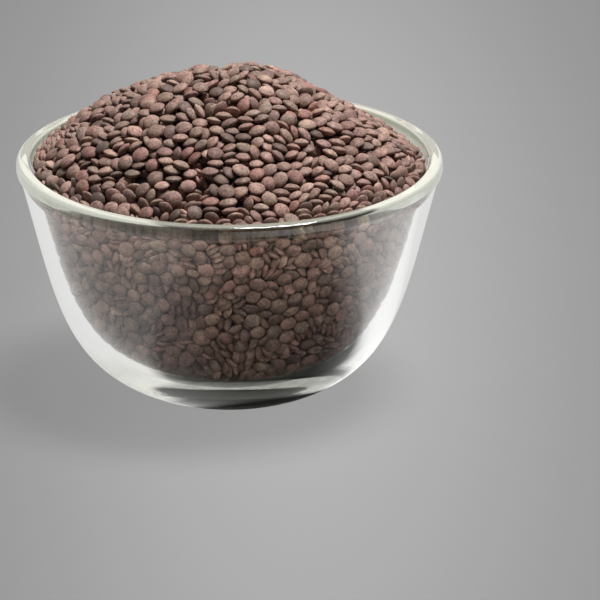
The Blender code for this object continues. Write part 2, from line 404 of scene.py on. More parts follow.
def turned(profile, sides):
    """A closed solid: a section from axis to axis, spun once round +Z."""
    bm = bmesh.new()
    chain = [bm.verts.new((point.x, 0.0, point.y)) for point in profile]
    edges = [bm.edges.new(pair) for pair in zip(chain, chain[1:])]
    bmesh.ops.spin(
        bm,
        geom=chain + edges,
        axis=(0, 0, 1),
        cent=(0, 0, 0),
        steps=sides,
        angle=2 * math.pi,
        use_merge=True,
    )
    bmesh.ops.remove_doubles(bm, verts=bm.verts, dist=1e-6)
    bmesh.ops.recalc_face_normals(bm, faces=bm.faces)
    return bm


def new_material(name):
    material = bpy.data.materials.new(name)
    material.use_nodes = True
    nodes = material.node_tree.nodes
    return material, material.node_tree, nodes["Principled BSDF"], nodes["Material Output"]


def fill(tree, socket, value):
    """Set a number, or link what another node gives."""
    if isinstance(value, float):
        socket.default_value = value
    else:
        tree.links.new(value, socket)


def maths(tree, operation, first, second):
    node = tree.nodes.new("ShaderNodeMath")
    node.operation = operation
    fill(tree, node.inputs[0], first)
    fill(tree, node.inputs[1], second)
    return node.outputs["Value"]


def between(tree, factor, first, second):
    """The first number where the factor is 0, and the second where it is 1."""
    node = tree.nodes.new("ShaderNodeMix")
    for name, value in (("Factor", factor), ("A", first), ("B", second)):
        fill(tree, node.inputs[name], value)
    return node.outputs["Result"]


def mixed_shader(tree, factor, first, second):
    mix = tree.nodes.new("ShaderNodeMixShader")
    tree.links.new(factor, mix.inputs["Fac"])
    tree.links.new(first, mix.inputs[1])
    tree.links.new(second, mix.inputs[2])
    return mix.outputs["Shader"]


def ray(tree, what):
    """What kind of ray it is, or how often it has been bounced."""
    return tree.nodes.new("ShaderNodeLightPath").outputs[what]


def noise(tree, vector, scale, detail, roughness):
    node = tree.nodes.new("ShaderNodeTexNoise")
    node.inputs["Scale"].default_value = scale
    node.inputs["Detail"].default_value = detail
    node.inputs["Roughness"].default_value = roughness
    tree.links.new(vector, node.inputs["Vector"])
    return node.outputs["Fac"]


def ramp(tree, value, stops):
    """Stops are (position, shade) or (position, colour)."""
    node = tree.nodes.new("ShaderNodeValToRGB")
    elements = node.color_ramp.elements
    while len(elements) < len(stops):
        elements.new(0.5)
    for element, (position, shade) in zip(elements, stops):
        element.position = position
        element.color = (*shade, 1.0) if isinstance(shade, tuple) else (shade, shade, shade, 1.0)
    tree.links.new(value, node.inputs["Fac"])
    return node.outputs["Color"]


def patches(tree, vector, scale, detail, roughness, stops):
    return ramp(tree, noise(tree, vector, scale, detail, roughness), stops)


def ranged(tree, value, low, high, at_low=0.0, at_high=1.0):
    """From at_low to at_high as the value goes from low to high."""
    node = tree.nodes.new("ShaderNodeMapRange")
    node.inputs["From Min"].default_value = low
    node.inputs["From Max"].default_value = high
    node.inputs["To Min"].default_value = at_low
    node.inputs["To Max"].default_value = at_high
    tree.links.new(value, node.inputs["Value"])
    return node.outputs["Result"]


def height_of(tree, vector):
    node = tree.nodes.new("ShaderNodeSeparateXYZ")
    tree.links.new(vector, node.inputs["Vector"])
    return node.outputs["Z"]


def multiplied(tree, first, second):
    node = tree.nodes.new("ShaderNodeMix")
    node.data_type = "RGBA"
    node.blend_type = "MULTIPLY"
    node.inputs["Factor"].default_value = 1.0
    tree.links.new(first, node.inputs["A"])
    tree.links.new(second, node.inputs["B"])
    return node.outputs["Result"]


def add_bump(tree, height, shader, strength, distance):
    node = tree.nodes.new("ShaderNodeBump")
    node.inputs["Strength"].default_value = strength
    node.inputs["Distance"].default_value = distance
    tree.links.new(height, node.inputs["Height"])
    tree.links.new(node.outputs["Normal"], shader.inputs["Normal"])


def object_coordinates(tree):
    return tree.nodes.new("ShaderNodeTexCoord").outputs["Object"]


# Glass bowl


def outer_wall():
    """Up the wall's outside on one Bezier curve: how far along, (radius, height) and direction."""
    foot = Vector((BASE_RADIUS, 0.0))
    neck = Vector((NECK_RADIUS, BOWL_HEIGHT - LIP_DEPTH))
    low = foot + HEEL_REACH * Vector((math.cos(HEEL_ANGLE), math.sin(HEEL_ANGLE)))
    high = neck - NECK_REACH * Vector((math.sin(NECK_LEAN), math.cos(NECK_LEAN)))
    for step in range(WALL_STEPS + 1):
        t = step / WALL_STEPS
        u = 1 - t
        point = u**3 * foot + 3 * u * u * t * low + 3 * u * t * t * high + t**3 * neck
        direction = u * u * (low - foot) + 2 * u * t * (high - low) + t * t * (neck - high)
        yield t, point, direction.normalized()


def inner_wall(wall):
    """(radius, height) up the inside: the outer wall, set in more and more towards the base."""
    points = []
    for t, point, direction in outer_wall():
        thickness = wall + (HEEL_WALL - wall) * (1 - t) ** HEEL_WALL_FADE
        points.append(point + thickness * Vector((-direction.y, direction.x)))
    return points


def arc(centre, radius, start, end, steps):
    for step in range(steps + 1):
        angle = start + (end - start) * step / steps
        yield centre + radius * Vector((math.cos(angle), math.sin(angle)))


def lip(inner_top):
    """The rim from the neck, round its bead and over its top, to the inner wall."""
    low = BOWL_HEIGHT - LIP_DEPTH
    yield Vector((RIM_RADIUS - LIP_STEP, low + LIP_ROUND / 2))
    yield Vector((RIM_RADIUS, low + LIP_ROUND))
    bead = Vector((RIM_RADIUS - LIP_ROUND, BOWL_HEIGHT - LIP_ROUND))
    yield from arc(bead, LIP_ROUND, 0.0, math.pi / 2, ROUND_STEPS)
    inner_height = BOWL_HEIGHT - LIP_INNER_ROUND
    inner_radius = inner_top.x + (inner_height - inner_top.y) * math.tan(NECK_LEAN)
    edge = Vector((inner_radius + LIP_INNER_ROUND, inner_height))
    yield from arc(edge, LIP_INNER_ROUND, math.pi / 2, math.pi, ROUND_STEPS)


def inner_floor(floor_edge):
    """In along the dished floor, from its edge to the axis."""
    for step in range(1, FLOOR_STEPS + 1):
        share = 1 - step / FLOOR_STEPS
        yield Vector((floor_edge.x * share, floor_edge.y - FLOOR_DISH * (1 - share * share)))


def bowl_profile(wall):
    inner = inner_wall(wall)
    profile = [
        Vector((0.0, RECESS_DEPTH)),
        Vector((RECESS_RADIUS - RECESS_SLOPE, RECESS_DEPTH)),
        Vector((RECESS_RADIUS, 0.0)),
    ]
    profile += [point for _, point, _ in outer_wall()]
    profile += lip(inner[-1])
    profile += reversed(inner)
    profile += inner_floor(inner[0])
    return profile


def glass_material(settings):
    """Clear soda glass with faint ripples, tinted by height, and a little milky at rim and heel,
    the milk being painted light.

    Lamps shine through it, and a ray that stays trapped in the wall leaves it straight ahead.
    """
    material, tree, shader, output = new_material("clear glass")
    place = object_coordinates(tree)
    height = ranged(tree, height_of(tree, place), 0.0, BOWL_HEIGHT)
    rim_low, rim_high = 1 - RIM_FADE / BOWL_HEIGHT, 1 - RIM_FLAT / BOWL_HEIGHT
    tints = (
        (0.0, tuple(settings.foot_tint)),
        (FOOT_TINT_TOP, tuple(settings.tint)),
        (1 - LIP_DEPTH / BOWL_HEIGHT, tuple(settings.tint)),
        (1 - (LIP_DEPTH - LIP_ROUND) / BOWL_HEIGHT, tuple(settings.bead_tint)),
        (rim_low, tuple(settings.bead_tint)),
        (rim_high, tuple(settings.rim_tint)),
    )
    tree.links.new(ramp(tree, height, tints), shader.inputs["Base Color"])
    # painted light: the milky diffuse share, lit by the lamps, stands in for light that the wall
    # carries up from the table into rim and foot
    milky_painted_light = ((0.0, HEEL_CLEAR), (HEEL_MILK_PAINTED_TOP, 1.0), (rim_low, 1.0), (rim_high, RIM_CLEAR))
    tree.links.new(ramp(tree, height, milky_painted_light), shader.inputs["Transmission Weight"])
    shader.inputs["IOR"].default_value = GLASS_IOR
    tree.links.new(patches(tree, place, *SMEARS), shader.inputs["Roughness"])
    add_bump(tree, noise(tree, place, *RIPPLES), shader, *RIPPLE_BUMP)
    clear = tree.nodes.new("ShaderNodeBsdfTransparent")
    clear.inputs["Color"].default_value = (*settings.tint, 1.0)
    trapped = maths(tree, "GREATER_THAN", ray(tree, "Glossy Depth"), INNER_REFLECTIONS - 0.5)
    leaves = maths(tree, "MAXIMUM", ray(tree, "Is Shadow Ray"), trapped)
    surface = mixed_shader(tree, leaves, shader.outputs["BSDF"], clear.outputs["BSDF"])
    tree.links.new(surface, output.inputs["Surface"])
    return material


class LENTIL_OT_glass(bpy.types.Operator):
    """Turn the glass bowl with its rolled lip"""

    bl_idname = "lentil_bowl.glass"
    bl_label = "Turn Glass Bowl"

    def execute(self, context):
        settings = context.scene.lentil_glass
        solid = turned(bowl_profile(settings.wall), settings.sides)
        bowl = add_piece("turned_glass", solid, SHARP_ANGLE)
        bowl.data.materials.append(glass_material(settings))
        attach(bowl, "root")
        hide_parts("glass_bowl")
        return {"FINISHED"}


# Heap and the room that the lentils fill


def heap_height(x, y):
    """Height of the lentils' tops: a rounded cone with low swells and dents."""
    reach = np.hypot(x - HEAP_MIDDLE[0], y - HEAP_MIDDLE[1])
    height = HEAP_HEIGHT - HEAP_SLOPE * (np.hypot(reach, HEAP_ROUNDING) - HEAP_ROUNDING)
    for swell_x, swell_y, radius, rise in np.array(HEAP_SWELLS) * MM:
        square = (x - swell_x) ** 2 + (y - swell_y) ** 2
        height = height + rise * np.exp(-square / (2 * radius**2))
    return height


def heap_normals(x, y):
    step = SLOPE_STEP
    slope_x = (heap_height(x + step, y) - heap_height(x - step, y)) / (2 * step)
    slope_y = (heap_height(x, y + step) - heap_height(x, y - step)) / (2 * step)
    return unit(np.stack([-slope_x, -slope_y, np.ones_like(slope_x)], axis=1))


def unit(vectors):
    return vectors / np.maximum(np.linalg.norm(vectors, axis=1, keepdims=True), 1e-12)


def dot(first, second):
    return (first * second).sum(axis=1)


class Room:
    """What holds the lentils: the glass below and all round, and the heap's surface above."""

    def __init__(self, wall):
        inner = inner_wall(wall)
        rim = Vector((inner[-1].x, BOWL_HEIGHT + RIM_RISE))
        section = [*reversed(list(inner_floor(inner[0]))), *inner, rim]
        points, normals = [], []
        for start, end in zip(section, section[1:]):
            steps = max(1, round((end - start).length / WALL_PIECE))
            direction = (end - start).normalized()
            for step in range(steps):
                points.append(start.lerp(end, (step + 0.5) / steps))
                normals.append((direction.y, -direction.x))
        self.points = np.array([tuple(point) for point in points])
        self.normals = np.array(normals)
        radii = np.arange(0.0, RIM_RADIUS + GRID_MARGIN, GRID_STEP)
        heights = np.arange(0.0, HEAP_HEIGHT + GRID_MARGIN, GRID_STEP)
        grid = np.stack(np.meshgrid(radii, heights, indexing="ij"), axis=2)
        away = ((grid[:, :, None, :] - self.points) ** 2).sum(axis=3)
        self.nearest = away.argmin(axis=2)  # the piece of glass nearest to each place

    def glass(self, centres):
        """How far each centre is from the glass, and which way the glass is."""
        radius = np.hypot(centres[:, 0], centres[:, 1])
        flat = np.stack([radius, centres[:, 2]], axis=1)
        cell = np.clip(np.rint(flat / GRID_STEP).astype(int), 0, np.array(self.nearest.shape) - 1)
        nearest = self.nearest[cell[:, 0], cell[:, 1]]
        normal = self.normals[nearest]
        gap = dot(self.points[nearest] - flat, normal)
        out = centres[:, :2] / np.maximum(radius, 1e-9)[:, None]
        return gap, np.column_stack([out * normal[:, :1], normal[:, 1]])

    def top(self, centres):
        """How far each centre is below the heap's surface, and which way that is."""
        normals = heap_normals(centres[:, 0], centres[:, 1])
        height = heap_height(centres[:, 0], centres[:, 1])
        return (height - centres[:, 2]) * normals[:, 2], normals

    def depth(self, centres):
        return np.minimum(self.glass(centres)[0], self.top(centres)[0])


def scatter(room, lentil_volume, draw):
    """Points strewn evenly through the shell between the room's bounds and the core."""
    lowest = np.array([-RIM_RADIUS, -RIM_RADIUS, 0.0])
    size = np.array([2 * RIM_RADIUS, 2 * RIM_RADIUS, HEAP_HEIGHT])
    tries = int(size.prod() * TOP_PACKING / lentil_volume)
    points = lowest + draw.random((tries, 3)) * size
    glass_gap = room.glass(points)[0]
    top_gap = room.top(points)[0]
    depth = np.minimum(glass_gap, top_gap)
    kept = (top_gap < glass_gap) | (draw.random(tries) < PACKING / TOP_PACKING)
    return points[(depth > LEAST_DEPTH) & (depth < SHELL_DEPTH) & kept]


def first_axes(room, centres, draw):
    """Where lentils' flat faces point at first: up on the heap, often at the glass beside it."""
    glass_gap, glass_normals = room.glass(centres)
    top_gap, top_normals = room.top(centres)
    up = np.array([0.0, 0.0, 1.0])
    loose = draw.normal(size=(len(centres), 3))
    upwards, outwards, chance = TOP_LEANING
    on_top = upwards * up + outwards * top_normals + chance * loose
    facing = glass_normals + FACING_CHANCE * loose
    strewn = STREWN_UP * up + loose
    near_glass = np.where((draw.random(len(centres)) < FACING_SHARE)[:, None], facing, strewn)
    return unit(np.where((top_gap < glass_gap + TOP_REACH)[:, None], on_top, near_glass))


def close_pairs(centres, reach):
    tree = KDTree(len(centres))
    for index, centre in enumerate(centres):
        tree.insert(centre, index)
    tree.balance()
    pairs = [
        (index, other)
        for index, centre in enumerate(centres)
        for _, other, _ in tree.find_range(centre, reach)
        if other > index
    ]
    return np.array(pairs).T


class Pile:
    """Flat ellipsoids that push each other apart, between the glass, the core and the surface."""

    def __init__(self, room, settings, draw):
        self.room = room
        self.flatness = settings.flatness * CONTACT_FLATNESS
        volume = math.pi / 6 * self.flatness * (CONTACT_SIZE * settings.diameter) ** 3
        self.centres = scatter(room, volume, draw)
        self.axes = first_axes(room, self.centres, draw)
        count = len(self.centres)
        least, most = (limit * settings.spread for limit in SIZE_LIMITS)
        spread = np.clip(draw.normal(0, settings.spread, count), least, most)
        self.sizes = (settings.diameter + spread) * CONTACT_SIZE
        self.proud = draw.uniform(*PROUD, count)

    def reach(self, normals, sizes):
        """How far a lentil extends from its centre in a direction."""
        lean = dot(normals, self.axes)
        return sizes / CONTACT_SIZE / 2 * np.sqrt(1 - (1 - self.flatness**2) * lean**2)

    def part(self, sizes):
        """Moves and turns that take overlapping neighbours apart."""
        first, second = self.pairs
        offset = self.centres[second] - self.centres[first]
        distance = np.maximum(np.linalg.norm(offset, axis=1), 1e-6)
        near = distance < (sizes[first] + sizes[second]) / 2
        first, second, offset, distance = first[near], second[near], offset[near], distance[near]
        line = offset / distance[:, None]
        axis_1, axis_2 = self.axes[first], self.axes[second]
        chi = (self.flatness**2 - 1) / (self.flatness**2 + 1)
        lean_1, lean_2, twist = dot(line, axis_1), dot(line, axis_2), dot(axis_1, axis_2)
        both = (lean_1 + lean_2) / (1 + chi * twist)
        apart = (lean_1 - lean_2) / (1 - chi * twist)
        form = 1 - chi / 2 * ((lean_1 + lean_2) * both + (lean_1 - lean_2) * apart)
        size = (sizes[first] + sizes[second]) / 2
        overlap = np.maximum(size / np.sqrt(form) - distance, 0.0)
        slope = size / 2 * form**-1.5
        by_1 = slope * chi * (both + apart)
        by_2 = slope * chi * (both - apart)
        by_twist = -slope * chi**2 / 2 * (both**2 - apart**2)
        aside_1 = by_1[:, None] * (axis_1 - lean_1[:, None] * line)
        aside_2 = by_2[:, None] * (axis_2 - lean_2[:, None] * line)
        push = line - (aside_1 + aside_2) / distance[:, None]
        turn_1 = -(by_1[:, None] * line + by_twist[:, None] * axis_2)
        turn_2 = -(by_2[:, None] * line + by_twist[:, None] * axis_1)
        turn_1 -= dot(turn_1, axis_1)[:, None] * axis_1
        turn_2 -= dot(turn_2, axis_2)[:, None] * axis_2
        spin = 1 / (SPIN_REACH * size) ** 2
        weight = 2 * dot(push, push) + spin * (dot(turn_1, turn_1) + dot(turn_2, turn_2))
        share = overlap / weight
        moves = np.zeros_like(self.centres)
        turns = np.zeros_like(self.axes)
        count = len(self.centres)
        for axis in range(3):
            pushed = share * push[:, axis]
            moves[:, axis] = np.bincount(second, pushed, count) - np.bincount(first, pushed, count)
            turns[:, axis] = np.bincount(first, share * spin * turn_1[:, axis], count)
            turns[:, axis] += np.bincount(second, share * spin * turn_2[:, axis], count)
        self.overlap = overlap
        return PUSH_SHARE * moves, PUSH_SHARE * turns

    def hold(self, gap, normals, sizes, strength, turning):
        """Keep each lentil on its own side of a surface this far off, by moving and turning it."""
        reach = self.reach(normals, sizes)
        over = np.maximum(reach - gap, 0.0)
        lean = dot(normals, self.axes)
        lever = (1 - self.flatness**2) * lean * sizes**2 / (4 * reach)
        turn = lever[:, None] * (normals - lean[:, None] * self.axes)
        spin = turning / (SPIN_REACH * sizes) ** 2
        share = strength * over / (1 + spin * dot(turn, turn))
        self.centres -= share[:, None] * normals
        self.axes = unit(self.axes + (share * spin)[:, None] * turn)

    def step(self, progress, pull):
        sizes = self.sizes * min(1.0, GROWTH + (1 - GROWTH) * GROWTH_RATE * progress)
        moves, turns = self.part(sizes)
        longest = LONGEST_MOVE * sizes
        length = np.maximum(np.linalg.norm(moves, axis=1), 1e-9)
        self.centres += moves * np.minimum(1.0, longest / length)[:, None]
        self.axes = unit(self.axes + np.clip(turns, -LARGEST_TURN, LARGEST_TURN))
        glass_gap, glass_normals = self.room.glass(self.centres)
        top_gap, top_normals = self.room.top(self.centres)
        on_top = top_gap < glass_gap
        down = np.array([0.0, 0.0, -1.0])
        settle = unit(down - INWARD_PULL * top_normals)
        self.centres += pull * np.where(on_top[:, None], settle, glass_normals)
        core = np.minimum(top_gap, glass_gap) - SHELL_DEPTH + CORE_REACH * sizes
        outwards = np.where(on_top[:, None], top_normals, glass_normals)
        self.centres += np.maximum(core, 0.0)[:, None] * outwards
        self.hold(top_gap + self.proud, top_normals, sizes, TOP_HOLD, TOP_TURN)
        glass_gap, glass_normals = self.room.glass(self.centres)
        self.hold(glass_gap - GLASS_CLEARANCE, glass_normals, sizes, 1.0, GLASS_TURN)

    def settle(self, steps):
        calm = int(steps * (1 - CALM_SHARE))
        for step in range(steps):
            if step % PAIR_STEPS == 0:
                self.pairs = close_pairs(self.centres, self.sizes.max() * PAIR_REACH)
            self.step(step / steps, PULL if step < calm else 0.0)
        ceiling = np.array([[0.0, 0.0, 1.0]])
        top = self.centres[:, 2] + self.reach(ceiling, self.sizes)
        self.centres[:, 2] -= np.maximum(top - HEAP_HEIGHT, 0.0)


# Lentil meshes


def lentil_form():
    """One lentil of unit diameter and unit thickness: two low domes that meet in a rim."""
    profile = [Vector((0.0, -0.5))]
    profile += [Vector((radius / 2, -height / 2)) for radius, height in reversed(LENTIL_RINGS)]
    profile.append(Vector((0.5, 0.0)))
    profile += [Vector((radius / 2, height / 2)) for radius, height in LENTIL_RINGS]
    profile.append(Vector((0.0, 0.5)))
    return turned(profile, LENTIL_SIDES)


def form_arrays():
    """The lentil's points, and its faces as corner counts and corners."""
    bm = lentil_form()
    mesh = bpy.data.meshes.new("lentil form")
    bm.to_mesh(mesh)
    bm.free()
    points = np.empty(len(mesh.vertices) * 3, np.float32)
    mesh.vertices.foreach_get("co", points)
    corners = np.empty(len(mesh.loops), np.int32)
    mesh.loops.foreach_get("vertex_index", corners)
    counts = np.empty(len(mesh.polygons), np.int32)
    mesh.polygons.foreach_get("loop_total", counts)
    bpy.data.meshes.remove(mesh)
    return points.reshape(-1, 3).astype(float), counts, corners


def uneven(points, count, draw):
    """The form once for each lentil, none quite round and none quite even."""
    angle = np.arctan2(points[:, 1], points[:, 0])
    radius = 1.0
    for waves, size in OUTLINE_WAVES:
        start = draw.uniform(0, 2 * math.pi, (count, 1))
        radius = radius + size * draw.normal(size=(count, 1)) * np.cos(waves * angle + start)
    dome = 1 + DOME_SPREAD * draw.normal(size=(count, 1)) * np.sign(points[:, 2])
    x = points[:, 0] * radius
    y = points[:, 1] * radius
    tilt = draw.normal(0, TILT_SPREAD, (count, 2, 1))
    tilted = 1 + tilt[:, 0] * points[:, 0] + tilt[:, 1] * points[:, 1]
    z = points[:, 2] * np.clip(dome, *DOME_LIMITS) * tilted
    widest = np.sqrt((x**2 + y**2).max(axis=1, keepdims=True)) * 2
    return np.stack([x / widest, y / widest, z], axis=2)


def clear_of_glass(placed, room):
    """Move each lentil in until all of its points are clear of the glass."""
    rows = np.arange(len(placed))
    for _ in range(TOUCH_ROUNDS):
        gap, normals = room.glass(placed.reshape(-1, 3))
        gap = gap.reshape(placed.shape[:2])
        nearest = gap.argmin(axis=1)
        over = np.maximum(GLASS_TOUCH - gap[rows, nearest], 0.0)
        placed = placed - (over[:, None] * normals.reshape(placed.shape)[rows, nearest])[:, None, :]
    return placed


def turns_of(axes, draw):
    """A rotation for each lentil that puts its flat faces across its axis, any way about it."""
    angle = draw.uniform(0, 2 * math.pi, len(axes))
    side = unit(np.cross(axes, draw.normal(size=axes.shape)))
    other = np.cross(axes, side)
    first = side * np.cos(angle)[:, None] + other * np.sin(angle)[:, None]
    second = np.cross(axes, first)
    return np.stack([first, second, axes], axis=2)


def joined(name, points, counts, corners, colours):
    """One mesh of many lentils. points is lentils x points x 3."""
    number, each, _ = points.shape
    mesh = bpy.data.meshes.new(name)
    mesh.vertices.add(number * each)
    mesh.vertices.foreach_set("co", points.astype(np.float32).ravel())
    all_corners = (corners[None, :] + each * np.arange(number)[:, None]).ravel()
    all_counts = np.tile(counts, number)
    mesh.loops.add(len(all_corners))
    mesh.loops.foreach_set("vertex_index", all_corners.astype(np.int32))
    mesh.polygons.add(len(all_counts))
    mesh.polygons.foreach_set("loop_start", (np.cumsum(all_counts) - all_counts).astype(np.int32))
    mesh.update(calc_edges=True)
    tone = mesh.color_attributes.new(TONE, "FLOAT_COLOR", "POINT")
    tone.data.foreach_set("color", np.repeat(colours, each, axis=0).astype(np.float32).ravel())
    mesh.shade_smooth()
    return add_object(name, mesh)


def skin_material(name):
    """Dry lentil skin: each lentil's own shade, fine mottling, soft clouds and little gloss."""
    material, tree, shader, _ = new_material(name)
    place = object_coordinates(tree)
    tone = tree.nodes.new("ShaderNodeAttribute")
    tone.attribute_name = TONE
    mottled = multiplied(tree, tone.outputs["Color"], patches(tree, place, *MOTTLING))
    clouded = multiplied(tree, mottled, patches(tree, place, *CLOUDS))
    tree.links.new(clouded, shader.inputs["Base Color"])
    tree.links.new(patches(tree, place, *SKIN_ROUGHNESS), shader.inputs["Roughness"])
    shader.inputs["Specular IOR Level"].default_value = SKIN_GLOSS
    add_bump(tree, noise(tree, place, *GRAIN), shader, *GRAIN_BUMP)
    return material


class LENTIL_OT_lentils(bpy.types.Operator):
    """Settle the lentils that show, on the heap and behind the glass"""

    bl_idname = "lentil_bowl.lentils"
    bl_label = "Settle Lentils"

    def execute(self, context):
        settings = context.scene.lentil_grains
        draw = np.random.default_rng(settings.seed)
        pile = Pile(Room(context.scene.lentil_glass.wall), settings, draw)
        pile.settle(SETTLE_STEPS)
        shown = pile.room.depth(pile.centres) < SHOWN_DEPTH
        overlap = pile.overlap / MM
        print(
            f"lentils: {len(shown)} settled, {shown.sum()} shown, "
            f"mean overlap {overlap.mean():.3f} mm, worst {overlap.max():.3f} mm"
        )
        centres, axes = pile.centres[shown], pile.axes[shown]
        sizes = pile.sizes[shown] / CONTACT_SIZE
        form, counts, corners = form_arrays()
        shapes = uneven(form, len(centres), draw) * sizes[:, None, None]
        shapes = shapes * np.array([1, 1, settings.flatness])
        placed = np.einsum("nij,npj->npi", turns_of(axes, draw), shapes) + centres[:, None, :]
        placed = clear_of_glass(placed, pile.room)
        edges = np.cumsum([share for _, share, _ in KINDS])
        kind = np.searchsorted(edges / edges[-1], draw.random(len(centres)))
        for index, (name, _, skin) in enumerate(KINDS):
            mine = kind == index
            number = int(mine.sum())
            shade = np.exp(draw.normal(0, SHADE_SPREAD, (number, 1)))
            hue = np.exp(draw.normal(0, HUE_SPREAD, (number, 3)))
            colours = np.column_stack([np.array(skin) * shade * hue, np.ones(number)])
            piece = joined(f"lentils_{name}", placed[mine], counts, corners, colours)
            piece.data.materials.append(skin_material(f"{name} lentil skin"))
            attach(piece, "root")
            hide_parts("lentils")
        return {"FINISHED"}


def core_profile(wall, depth):
    """The core in section: the heap, sunk by this depth, and the inner wall, set in by it."""
    inner = inner_wall(wall)
    floor = inner[0].y + depth
    side = []
    for low, high in zip(inner, inner[1:]):
        direction = (high - low).normalized()
        point = low + depth * Vector((-direction.y, direction.x))
        if floor < point.y < BOWL_HEIGHT - depth:
            side.append(point)
    dome = []
    for step in range(CORE_STEPS + 1):
        reach = side[-1].x * (1 - step / CORE_STEPS)
        dome.append(Vector((reach, float(heap_height(reach, 0.0)) - depth)))
    return [Vector((0.0, floor)), Vector((side[0].x, floor)), *side[1:], *dome]


def painted_shade_core_material():
    """What is seen deep between the lentils: shapes of more lentils, painted nearly black as
    painted shade.
    """
    material, tree, shader, _ = new_material("deep lentils in painted shade")
    cells = tree.nodes.new("ShaderNodeTexVoronoi")
    cells.inputs["Scale"].default_value = CORE_CELLS
    tree.links.new(object_coordinates(tree), cells.inputs["Vector"])
    distance = cells.outputs["Distance"]
    tree.links.new(ramp(tree, distance, CORE_PAINTED_SHADE_COLOURS), shader.inputs["Base Color"])
    shader.inputs["Roughness"].default_value = MATT
    add_bump(tree, distance, shader, *CORE_BUMP)
    return material


class LENTIL_OT_core(bpy.types.Operator):
    """Make the core that fills the bowl behind the lentils, dark with painted shade"""

    bl_idname = "lentil_bowl.core"
    bl_label = "Make Core"

    def execute(self, context):
        profile = core_profile(context.scene.lentil_glass.wall, CORE_DEPTH)
        core = add_piece("lentils_core", turned(profile, CORE_SIDES))
        core.data.materials.append(painted_shade_core_material())
        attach(core, "root")
        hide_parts("lentils")
        return {"FINISHED"}


# Stage


def by_glass(tree):
    """1 where a ray comes off or through glass, and 0 otherwise."""
    return maths(tree, "MAXIMUM", ray(tree, "Is Glossy Ray"), ray(tree, "Is Transmission Ray"))


def seen_in_glass(tree):
    """1 where something is seen by such a ray, and 0 where it only lights the lentils."""
    direct = maths(tree, "LESS_THAN", ray(tree, "Diffuse Depth"), 0.5)
    return maths(tree, "MULTIPLY", by_glass(tree), direct)


def along(tree, vector, direction):
    """How far a vector goes in a direction."""
    node = tree.nodes.new("ShaderNodeVectorMath")
    node.operation = "DOT_PRODUCT"
    node.inputs[1].default_value = direction
    tree.links.new(vector, node.inputs[0])
    return node.outputs["Value"]


def oval_reach(tree, place, middle, reach):
    """Distance on the floor from an oval's middle, which is 1 on its edge."""
    offset = tree.nodes.new("ShaderNodeMapping")
    offset.vector_type = "TEXTURE"
    offset.inputs["Location"].default_value = (*middle, 0.0)
    offset.inputs["Scale"].default_value = (*reach, 1.0)
    tree.links.new(place, offset.inputs["Vector"])
    length = tree.nodes.new("ShaderNodeVectorMath")
    length.operation = "LENGTH"
    tree.links.new(offset.outputs["Vector"], length.inputs[0])
    return length.outputs["Value"]


def pool_of_light(tree, place):
    """1 in the middle of the pool, fading softly to the light beyond it."""
    square = maths(tree, "POWER", oval_reach(tree, place, POOL_MIDDLE, POOL_REACH), 2.0)
    fall = maths(tree, "POWER", math.exp(-POOL_FALL), square)
    return ranged(tree, fall, 0.0, 1.0, POOL_EDGE)


def table_glow(tree, place, settings):
    """What glass sees of the table: a painted glow for the lit table, with painted shade dim just
    in front and dark under the foot.

    As the glass mirrors it, it is also brighter to the right.
    """
    mirrored = maths(tree, "LESS_THAN", ray(tree, "Transmission Depth"), 0.5)
    reach = oval_reach(tree, place, DIM_MIDDLE, DIM_REACH)
    near_edge = ranged(tree, reach, *NEAR_DIM_EDGE)
    soft_edge = ranged(tree, reach, *SOFT_DIM_EDGE)
    edge = between(tree, mirrored, near_edge, soft_edge)
    front = ramp(tree, edge, ((0.0, DIM_GLOW), (1.0, 1.0)))
    foot_reach = oval_reach(tree, place, FOOT_SHADE_MIDDLE, FOOT_SHADE_REACH)
    under = ramp(tree, foot_reach, FOOT_SHADES)
    right = along(tree, place, (1.0, 0.0, 0.0))
    behind = maths(tree, "MINIMUM", along(tree, place, (0.0, -GLOW_FADE, 0.0)), 0.0)
    side = maths(tree, "ADD", right, behind)
    mirror_glow = ranged(tree, side, *GLOW_SIDES, settings.left_glow, settings.bright_glow)
    # painted light: an emission that only glass sees stands in for the lit table
    glow = tree.nodes.new("ShaderNodeEmission")
    tree.links.new(multiplied(tree, front, under), glow.inputs["Color"])
    strength = between(tree, mirrored, settings.table_glow, mirror_glow)
    tree.links.new(strength, glow.inputs["Strength"])
    return glow.outputs["Emission"]


def floor_material(settings):
    """Matt floor in a painted pool of light, which looks pale by a painted glow that only the
    camera sees, and glows as glass sees it, as a lit table does.
    """
    material, tree, shader, output = new_material("pale floor")
    place = object_coordinates(tree)
    low, high = FLOOR_PATCH_STOPS
    shades = ((low, settings.floor_shade * FLOOR_PATCH_SHADE), (high, settings.floor_shade))
    mottled = patches(tree, place, *FLOOR_PATCHES, shades)
    pool = pool_of_light(tree, place)
    tree.links.new(multiplied(tree, mottled, pool), shader.inputs["Base Color"])
    shader.inputs["Roughness"].default_value = MATT
    # painted light: a glow that only the camera sees lifts the floor above what its light makes it
    # and softens its shadow
    lift = tree.nodes.new("ShaderNodeEmission")
    lift.inputs["Strength"].default_value = settings.floor_lift
    tree.links.new(pool, lift.inputs["Color"])
    paler = tree.nodes.new("ShaderNodeAddShader")
    matt = shader.outputs["BSDF"]
    tree.links.new(matt, paler.inputs[0])
    tree.links.new(lift.outputs["Emission"], paler.inputs[1])
    direct = mixed_shader(tree, ray(tree, "Is Camera Ray"), matt, paler.outputs["Shader"])
    surface = mixed_shader(tree, seen_in_glass(tree), direct, table_glow(tree, place, settings))
    tree.links.new(surface, output.inputs["Surface"])
    material.cycles.emission_sampling = "NONE"
    return material


